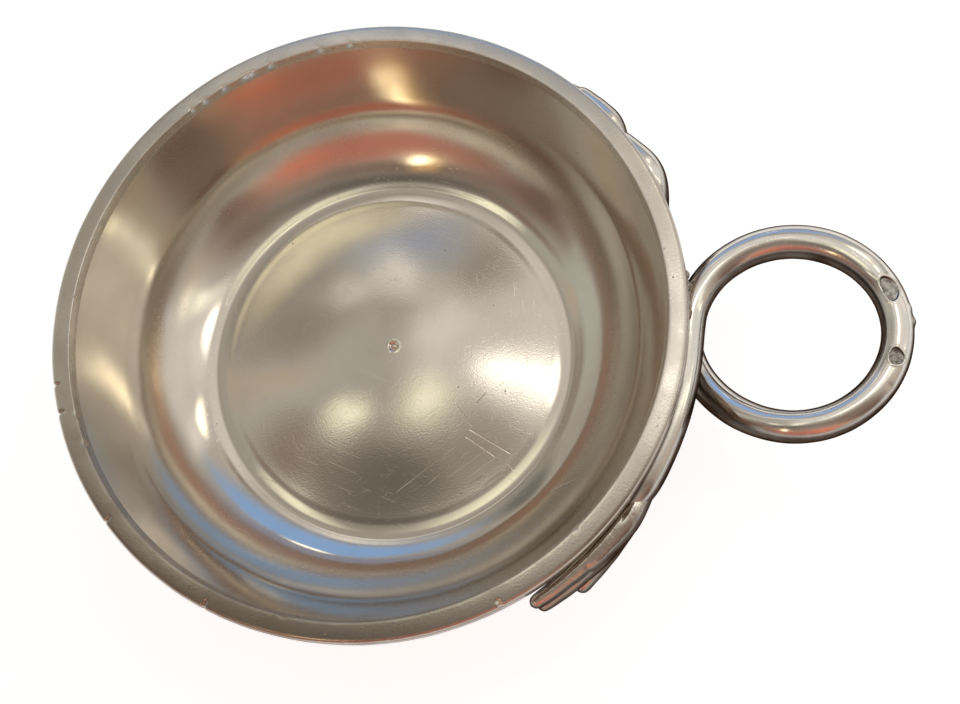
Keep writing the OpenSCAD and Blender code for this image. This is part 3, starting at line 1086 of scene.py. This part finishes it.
def rim_finish():
    """Matt silver with fine file marks across the band, and painted shade on its outer edge, on one side and
    under its edge.
    """
    finish, tree, shader, place = new_finish("filed_rim_silver")
    far = from_axis(tree, place)
    parts = parts_of(tree, place)
    turn = work_out(tree, "ARCTAN2", parts["Y"], parts["X"])
    strokes = {0: times(tree, turn, FILED_ROUND), 1: times(tree, far, FILED_ALONG)}
    across = place_node(tree, "ShaderNodeCombineXYZ", strokes).outputs[0]
    marks = noise(tree, across, scale=1.0, detail=3.0, roughness=0.6)
    smudge = smudges(tree, place, scale=160.0)
    grain = satin_grain(tree, place, scale=3600.0)
    pits = small_pits(tree, place, scale=900.0, share=0.2)
    # Painted shade on the outer edge, on one side and under the edge
    outer = fade(tree, far, RIM_R - OUTER_EDGE, RIM_R, start=0.0, end=0.45)
    side = on_places(tree, "DOT_PRODUCT", place, SHADED_SIDE)["Value"]
    painted_side_shade = fade(tree, side, SHADED_FROM * RIM_R, RIM_R, start=0.0, end=0.5)
    near_edge = fade(tree, far, RIM_R - UNDER_EDGE[0], RIM_R - UNDER_EDGE[1], start=0.0, end=0.85)
    below = times(tree, underside(tree, *RIM_FACING), near_edge)
    darkening = plus(tree, most(tree, outer, painted_side_shade, below, times(tree, pits, 0.7)), times(tree, smudge, 0.14))
    tree.links.new(blend_colours(tree, darkening, RIM_COLOUR, TARNISH_AND_SHADE), shader.inputs["Base Color"])
    tree.links.new(plus(tree, 0.22, times(tree, smudge, 0.08)), shader.inputs["Roughness"])
    filed = times(tree, marks, mix_values(tree, smudge, 0.3, 1.0))
    add_relief(tree, shader, [(filed, 0.008 * MM), (grain, 0.016 * MM), (pits, -0.03 * MM)])
    return finish


def rod_finish():
    """Polished silver, with painted shade underneath and in the groove along the band, and tarnish in the
    stamps.
    """
    finish, tree, shader, place = new_finish("polished_rod_silver")
    far = from_axis(tree, place)
    smudge = smudges(tree, place, scale=220.0)
    spots = smudges(tree, place, scale=1500.0)
    grain = satin_grain(tree, place, scale=2600.0)
    hair = hair_scratches(tree, place, along=120.0, across=5000.0, share=0.45)
    pits = small_pits(tree, place, scale=700.0, share=0.08)
    stamped = hollows(tree)
    # Painted shade in the groove beside the band and underneath
    groove = fade(tree, far, RIM_R, RIM_R + GROOVE_W, start=0.65, end=0.0)
    below = times(tree, underside(tree, *ROD_FACING), 0.92)
    blotched = times(tree, stamped, mix_values(tree, spots, 0.4, 0.85))
    darkening = plus(tree, most(tree, groove, below, blotched, times(tree, pits, 0.6)), times(tree, smudge, 0.08))
    tree.links.new(blend_colours(tree, darkening, ROD_COLOUR, BLACKENED_AND_SHADE), shader.inputs["Base Color"])
    # Dark edge tint: painted shade where the rod is seen edge on
    shader.inputs["Specular Tint"].default_value = PAINTED_EDGE_SHADE
    rough = plus(tree, 0.1, times(tree, smudge, 0.06))
    rough = plus(tree, rough, times(tree, most(tree, darkening, stamped), 0.22))
    tree.links.new(rough, shader.inputs["Roughness"])
    layers = [(hair, -0.003 * MM), (pits, -0.02 * MM), (times(tree, grain, stamped), 0.12 * MM)]
    add_relief(tree, shader, layers)
    return finish


def leaf_finish():
    """Cast silver, polished where it stands out, dark in its grooves, and with painted shade underneath."""
    finish, tree, shader, place = new_finish("cast_leaf_silver")
    groove = hollows(tree)
    smudge = smudges(tree, place, scale=300.0)
    grain = satin_grain(tree, place, scale=1600.0)
    hair = hair_scratches(tree, place, along=250.0, across=4000.0, share=0.5)
    # Painted shade underneath
    below = times(tree, underside(tree, *LEAF_FACING), 0.9)
    darkening = plus(tree, most(tree, times(tree, groove, 0.85), below), times(tree, smudge, 0.05))
    tree.links.new(blend_colours(tree, darkening, LEAF_COLOUR, BLACKENED_AND_SHADE), shader.inputs["Base Color"])
    # Dark edge tint: painted shade where a leaf is seen edge on
    shader.inputs["Specular Tint"].default_value = PAINTED_EDGE_SHADE
    tree.links.new(plus(tree, 0.14, times(tree, darkening, 0.2)), shader.inputs["Roughness"])
    add_relief(tree, shader, [(hair, -0.004 * MM), (grain, 0.03 * MM)])
    return finish


def solder_finish():
    """Dull grey solder with a skin of tarnish."""
    finish, tree, shader, place = new_finish("dull_solder")
    smudge = smudges(tree, place, scale=700.0)
    grain = satin_grain(tree, place, scale=2500.0)
    darkening = mix_values(tree, smudge, 0.35, 0.85)
    tree.links.new(blend_colours(tree, darkening, SOLDER_COLOUR, TARNISH_AND_SHADE), shader.inputs["Base Color"])
    tree.links.new(mix_values(tree, smudge, 0.3, 0.5), shader.inputs["Roughness"])
    add_relief(tree, shader, [(grain, 0.03 * MM)])
    return finish


def dress(piece, finish, node=None):
    """Gives a piece its finish and its place in the frame; a piece with a node stands for it."""
    piece.data.materials.clear()
    piece.data.materials.append(finish)
    if node:
        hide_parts(node)
    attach(piece, "root")


# Camera, room, overhead sheet and floor

# Tones of the room
PAPER = (0.46, 0.43, 0.38, 1)
CREAM = (0.82, 0.78, 0.74, 1)
WINDOW = (0.95, 0.95, 1.02, 1)
PALE = (0.95, 0.9, 0.84, 1)
WHITE = (1.5, 1.48, 1.25, 1)
LAMP = (2.6, 2.5, 2.3, 1)
BUTTER = (1.3, 1.27, 1.0, 1)
BLUE = (0.3, 0.5, 0.88, 1)
STEEL = (0.36, 0.4, 0.5, 1)
SLATE = (0.3, 0.31, 0.4, 1)
SAGE = (0.52, 0.52, 0.47, 1)
OLIVE = (0.21, 0.2, 0.18, 1)
SAND = (0.56, 0.47, 0.38, 1)
MUD = (0.26, 0.19, 0.155, 1)
BROWN = (0.2, 0.125, 0.1, 1)
UMBER = (0.13, 0.075, 0.06, 1)
RUST = (0.34, 0.17, 0.125, 1)
RED = (0.55, 0.21, 0.15, 1)
ORANGE = (0.82, 0.27, 0.16, 1)
TAN = (0.72, 0.42, 0.28, 1)
GOLD = (1.1, 0.68, 0.26, 1)
GLINT = (4.8, 4.2, 2.9, 1)
SPARK = (2.8, 2.6, 2.05, 1)
DARK = (0.17, 0.15, 0.13, 1)
GREY = (0.33, 0.29, 0.255, 1)
SHEET_Z = 165 * MM
SHEET_SIZE = 1.6
# How far a card's soft edge spills over its half sizes
CARD_SPILL = 0.3
# Soft cards on a sheet of paper close above the cup: middle across the cup, half length and half width in
# millimetres, angle of the length, softness of the edge, tone
CARDS = [
    (330, 150, 340, 170, 25, 0.6, CREAM),
    (340, -50, 240, 45, -8, 0.7, SAND),
    (330, 165, 220, 24, 27, 0.8, PALE),
    (160, 205, 170, 24, 52, 0.8, PALE),
    (88, 117, 36, 14, 52, 0.8, SPARK),
    (-290, 20, 260, 120, 0, 0.7, SAGE),
    (-30, 500, 330, 170, 0, 0.5, SLATE),
    (-20, 265, 175, 110, 0, 0.6, BLUE),
    (-35, 165, 75, 26, 0, 0.9, STEEL),
    (-225, 240, 190, 45, 133, 0.8, OLIVE),
    (-140, 80, 60, 50, 30, 0.9, GREY),
    (-325, -160, 290, 95, 27, 0.6, BROWN),
    (-430, -220, 190, 60, 27, 0.8, UMBER),
    (-230, -290, 280, 90, 52, 0.7, RUST),
    (20, -420, 260, 330, 0, 0.35, RED),
    (-40, -100, 170, 55, 0, 0.9, MUD),
    (165, -335, 240, 75, 295, 0.8, ORANGE),
    (220, -240, 200, 30, 313, 0.9, TAN),
    (300, -195, 320, 85, 326, 0.6, BROWN),
    (120, -65, 120, 40, 332, 0.9, MUD),
    (15, 75, 80, 45, 75, 0.9, CREAM),
    (26, 133, 34, 21, 120, 0.9, GREY),
    (-140, 28, 44, 15, 10, 0.9, SAND),
    (-71, -139, 71, 15, 70, 0.9, GOLD),
    (-62, -142, 38, 12, 70, 0.9, GLINT),
    (-13, 356, 34, 18, 0, 0.9, SPARK),
    (-30, -52, 120, 30, 0, 0.9, DARK),
    (-118, -28, 46, 22, 150, 0.9, MUD),
    (-90, 120, 38, 20, 20, 0.9, CREAM),
    (-42, 135, 46, 24, 150, 0.9, PALE),
    (-70, -11, 27, 17, 12, 0.9, BUTTER),
    (2, 3, 34, 24, 40, 0.9, BUTTER),
    (150, 17, 112, 15, 2, 0.9, WHITE),
    (250, 20, 46, 20, 4, 0.9, SPARK),
    (560, 90, 130, 60, 10, 0.6, WINDOW),
    (95, 55, 70, 42, 20, 0.9, PALE),
    (60, 38, 25, 18, 20, 0.7, LAMP),
]
ROOM_LEVEL = 1
BACKDROP = (1, 1, 1, 1)
FLOOR_SIZE = 8
FLOOR_GLOW = 0.8
FLOOR_TINT = (0.93, 0.97, 1, 1)
FLOOR_COLOUR = (0.7, 0.655, 0.6, 1)
CAMERA_AT = Vector((36.37 * MM, -45.53 * MM, 160.88 * MM))
CAMERA_AIM = Vector((15.28 * MM, -4.67 * MM, BOWL_H))
CAMERA_ROLL = 23.91
CAMERA_LENS = 45.84
CAMERA_SENSOR = 36
CAMERA_NEAR = 10 * MM


def looked_at(tree):
    """1 for what the eye, a mirror or glass looks at, and 0 for plain light."""
    path = place_node(tree, "ShaderNodeLightPath").outputs
    return most(tree, path["Is Camera Ray"], path["Is Glossy Ray"], path["Is Transmission Ray"])


def make_room():
    """A dim room that lights the floor; to the eye and in the metal it is plain white, as the floor is."""
    world = bpy.data.worlds.new("room")
    bpy.context.scene.world = world
    world.use_nodes = True
    tree = world.node_tree
    colour = blend_colours(tree, looked_at(tree), GREY, BACKDROP)
    tree.links.new(colour, tree.nodes["Background"].inputs["Color"])
    tree.nodes["Background"].inputs["Strength"].default_value = ROOM_LEVEL


def card_group():
    """Share of one soft oval card at a place."""
    sockets = [("Place", PLACE), ("Middle", PLACE), ("Turn", VALUE), ("Half", PLACE), ("Soft", VALUE)]
    tree, given, out = new_group("soft_card", sockets, [("Share", VALUE)])
    off = on_places(tree, "SUBTRACT", given["Place"], given["Middle"])["Vector"]
    turned = turned_place(tree, off, given["Turn"])
    reach = on_places(tree, "DIVIDE", turned, given["Half"])["Vector"]
    far = on_places(tree, "LENGTH", reach)["Value"]
    core = work_out(tree, "SUBTRACT", 1.0, given["Soft"])
    edge = plus(tree, 1.0, times(tree, given["Soft"], CARD_SPILL))
    tree.links.new(fade(tree, far, core, edge, start=1.0, end=0.0), out["Share"])
    return tree


def make_sheet():
    """A glowing sheet with soft cards of tone, close above the cup: metal mirrors it, no eye sees it."""
    bpy.ops.object.select_all(action="DESELECT")
    bpy.ops.mesh.primitive_plane_add(size=SHEET_SIZE, location=(0, 0, SHEET_Z))
    sheet = bpy.context.object
    sheet.name = "overhead_sheet"
    finish = bpy.data.materials.new("overhead_paper")
    finish.use_nodes = True
    tree = finish.node_tree
    tree.nodes.clear()
    place = place_node(tree, "ShaderNodeTexCoord").outputs["Object"]
    card = card_group()
    colour = PAPER
    for x, y, half_l, half_w, turn, soft, tone in CARDS:
        inputs = {"Place": place, "Middle": (x * MM, y * MM, 0), "Turn": -math.radians(turn),
                  "Half": (half_l * MM, half_w * MM, 1), "Soft": soft}
        colour = blend_colours(tree, use_group(tree, card, inputs)["Share"], colour, tone)
    glow = place_node(tree, "ShaderNodeEmission", {"Color": colour, "Strength": 1.0})
    place_node(tree, "ShaderNodeOutputMaterial", {"Surface": glow.outputs[0]})
    sheet.data.materials.append(finish)
    sheet.visible_camera = False


def make_floor():
    """A pale floor that keeps the shadow, plain white to the eye and in the metal, and open from below."""
    bpy.ops.object.select_all(action="DESELECT")
    bpy.ops.mesh.primitive_plane_add(size=FLOOR_SIZE)
    floor = bpy.context.object
    floor.name = "floor"
    finish = bpy.data.materials.new("floor_paper")
    finish.use_nodes = True
    tree = finish.node_tree
    tree.nodes.clear()
    strength = times(tree, looked_at(tree), FLOOR_GLOW)
    glow = place_node(tree, "ShaderNodeEmission", {"Color": FLOOR_TINT, "Strength": strength})
    paper = place_node(tree, "ShaderNodeBsdfDiffuse", {"Color": FLOOR_COLOUR})
    lit = place_node(tree, "ShaderNodeAddShader", {0: glow.outputs[0], 1: paper.outputs[0]})
    clear = place_node(tree, "ShaderNodeBsdfTransparent")
    back = place_node(tree, "ShaderNodeNewGeometry").outputs["Backfacing"]
    sides = place_node(tree, "ShaderNodeMixShader", {0: back, 1: lit.outputs[0], 2: clear.outputs[0]})
    place_node(tree, "ShaderNodeOutputMaterial", {"Surface": sides.outputs[0]})
    floor.data.materials.append(finish)


def make_camera():
    camera = bpy.data.cameras.new("camera")
    camera.lens = CAMERA_LENS
    camera.sensor_width = CAMERA_SENSOR
    camera.clip_start = CAMERA_NEAR
    stand = bpy.data.objects.new("camera", camera)
    bpy.context.scene.collection.objects.link(stand)
    back = CAMERA_AT - CAMERA_AIM
    roll = Matrix.Rotation(math.radians(-CAMERA_ROLL), 3, "Z").to_quaternion()
    stand.location = CAMERA_AT
    stand.rotation_euler = (back.to_track_quat("Z", "Y") @ roll).to_euler()
    bpy.context.scene.camera = stand


make_camera()
make_room()
make_sheet()
make_floor()

solder = solder_finish()
leaf_silver = leaf_finish()
dress(make_bowl(), bowl_finish(), "bowl")
dress(make_rim(), rim_finish(), "rim_band")
dress(make_rod(), rod_finish(), "handle_ring")
lower_leaf = make_leaf("lower_leaf_cast", LOWER_ROOT, -LOWER_SPAN, LOWER_STRANDS)
dress(lower_leaf, leaf_silver, "lower_leaf")
upper_leaf = make_leaf("upper_leaf_cast", UPPER_ROOT, UPPER_SPAN, UPPER_STRANDS)
dress(upper_leaf, leaf_silver, "upper_leaf")
lower_seam = make_seam("lower_solder_seam", -LOWER_FROM - SEAM_LAP, -LEAVE_A - SEAM_LAP)
dress(lower_seam, solder, "lower_seam")
upper_seam = make_seam("upper_solder_seam", CLIMB_TO, UPPER_FROM + SEAM_LAP)
dress(upper_seam, solder, "upper_seam")
dress(make_crossing_solder(), solder, "crossing_solder")
dress(make_ring_run(), solder)

bpy.context.scene.view_settings.view_transform = "Standard"
